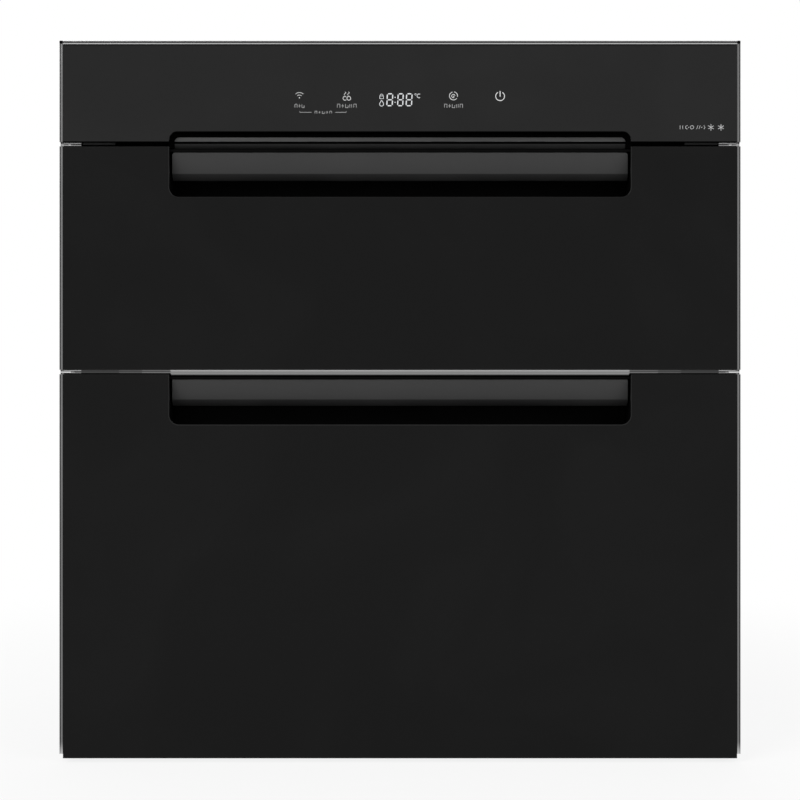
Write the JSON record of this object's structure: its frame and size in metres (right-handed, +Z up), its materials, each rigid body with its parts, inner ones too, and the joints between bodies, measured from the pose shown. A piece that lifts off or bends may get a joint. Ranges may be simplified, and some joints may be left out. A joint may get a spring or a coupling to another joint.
{
  "type": "dish sterilizer cabinet",
  "caption": "Built-in dish sterilizer cabinet with black glass fronts: a touch panel above an upper and a lower drawer on ball-bearing slides, with recessed handles.",
  "frame": {"origin": "middle of the footprint, on the surface that the feet stand on", "axes": "+Z up, the fronts face -Y, +X to the right seen from the front"},
  "size_m": [0.595, 0.45, 0.631],
  "materials": {
    "black_glass": "tempered sheet with black backing, polished",
    "trim_aluminium": "brushed, anodised",
    "satin_black": "satin black moulding",
    "black_plastic": "fine-grained black moulding",
    "galvanised": "galvanised sheet, dull",
    "stainless": "brushed stainless sheet",
    "wire_steel": "polished stainless wire",
    "slide_steel": "zinc plated",
    "silicone": "matt grey silicone",
    "rubber_feet": "matt black rubber",
    "lamp_glass": "clear quartz glass",
    "heater_glass": "milky quartz glass",
    "ceramic": "unglazed ceramic",
    "white_plastic": "white moulded plastic",
    "circuit_board": "green solder mask",
    "board_parts": "moulded component housings",
    "display": "dark filter with white digits",
    "spring_steel": "bright spring steel",
    "fan_plastic": "black glass-filled plastic",
    "heater_metal": "bare finned aluminium",
    "screw_steel": "zinc plated"
  },
  "bodies": {
    "cabinet": {"air_duct": "galvanised", "air_grilles": "stainless", "back_panel": "galvanised", "base_plate": "galvanised", "cabinet_screws": "screw_steel", "control_carrier": "black_plastic", "control_finger_lip": "satin_black", "control_glass": "black_glass", "control_side_trims": "trim_aluminium", "control_trim_top": "trim_aluminium", "cord_gland": "black_plastic", "display_board": "circuit_board", "display_module": "display", "electronics_tray": "galvanised", "fan_housing": "fan_plastic", "fan_motor": "galvanised", "feet": "rubber_feet", "front_frame": "stainless", "heater_end_caps": "ceramic", "heater_guard": "stainless", "lower_liner": "stainless", "power_board": "circuit_board", "power_board_parts": "board_parts", "ptc_heater": "heater_metal", "quartz_heaters": "heater_glass", "side_panel_left": "galvanised", "side_panel_right": "galvanised", "slide_outer_members": "slide_steel", "top_cover": "galvanised", "touch_springs": "spring_steel", "upper_liner": "stainless", "uv_lamp_guards": "stainless", "uv_lamp_holders": "white_plastic", "uv_lamps": "lamp_glass"},
    "fan_wheel": {"fan_wheel": "fan_plastic"},
    "upper_drawer": {"upper_glass": "black_glass", "upper_side_trims": "trim_aluminium", "upper_handle": "satin_black", "upper_handle_pocket": "black_plastic", "upper_front_rails": "galvanised", "upper_inner_panel": "stainless", "upper_gasket": "silicone", "upper_slide_brackets": "slide_steel", "upper_slide_inner": "slide_steel", "upper_basket": "wire_steel", "upper_drip_tray": "stainless", "upper_bottom_trim": "trim_aluminium"},
    "lower_drawer": {"lower_glass": "black_glass", "lower_side_trims": "trim_aluminium", "lower_handle": "satin_black", "lower_handle_pocket": "black_plastic", "lower_front_rails": "galvanised", "lower_inner_panel": "stainless", "lower_gasket": "silicone", "lower_slide_brackets": "slide_steel", "lower_slide_inner": "slide_steel", "lower_basket": "wire_steel", "lower_drip_tray": "stainless"},
    "upper_slide_middles": {"upper_slide_middle": "slide_steel"},
    "lower_slide_middles": {"lower_slide_middle": "slide_steel"}
  },
  "joints": [
    {"name": "upper_drawer_travel", "type": "slide", "parent": "cabinet", "child": "upper_drawer", "axis": [0, -1, 0], "range_m": [0, 0.34]},
    {"name": "lower_drawer_travel", "type": "slide", "parent": "cabinet", "child": "lower_drawer", "axis": [0, -1, 0], "range_m": [0, 0.34]},
    {"name": "upper_slide_middle_travel", "type": "slide", "parent": "cabinet", "child": "upper_slide_middles", "axis": [0, -1, 0], "range_m": [0, 0.17]},
    {"name": "lower_slide_middle_travel", "type": "slide", "parent": "cabinet", "child": "lower_slide_middles", "axis": [0, -1, 0], "range_m": [0, 0.17]},
    {"name": "fan_spin", "type": "hinge", "parent": "cabinet", "child": "fan_wheel", "pos_m": [-0.13, 0.192, 0.3415], "axis": [0, 1, 0], "continuous": true}
  ],
  "couplings": [
    {"joint": "upper_slide_middle_travel", "follows": "upper_drawer_travel", "ratio": 0.5},
    {"joint": "lower_slide_middle_travel", "follows": "lower_drawer_travel", "ratio": 0.5}
  ]
}
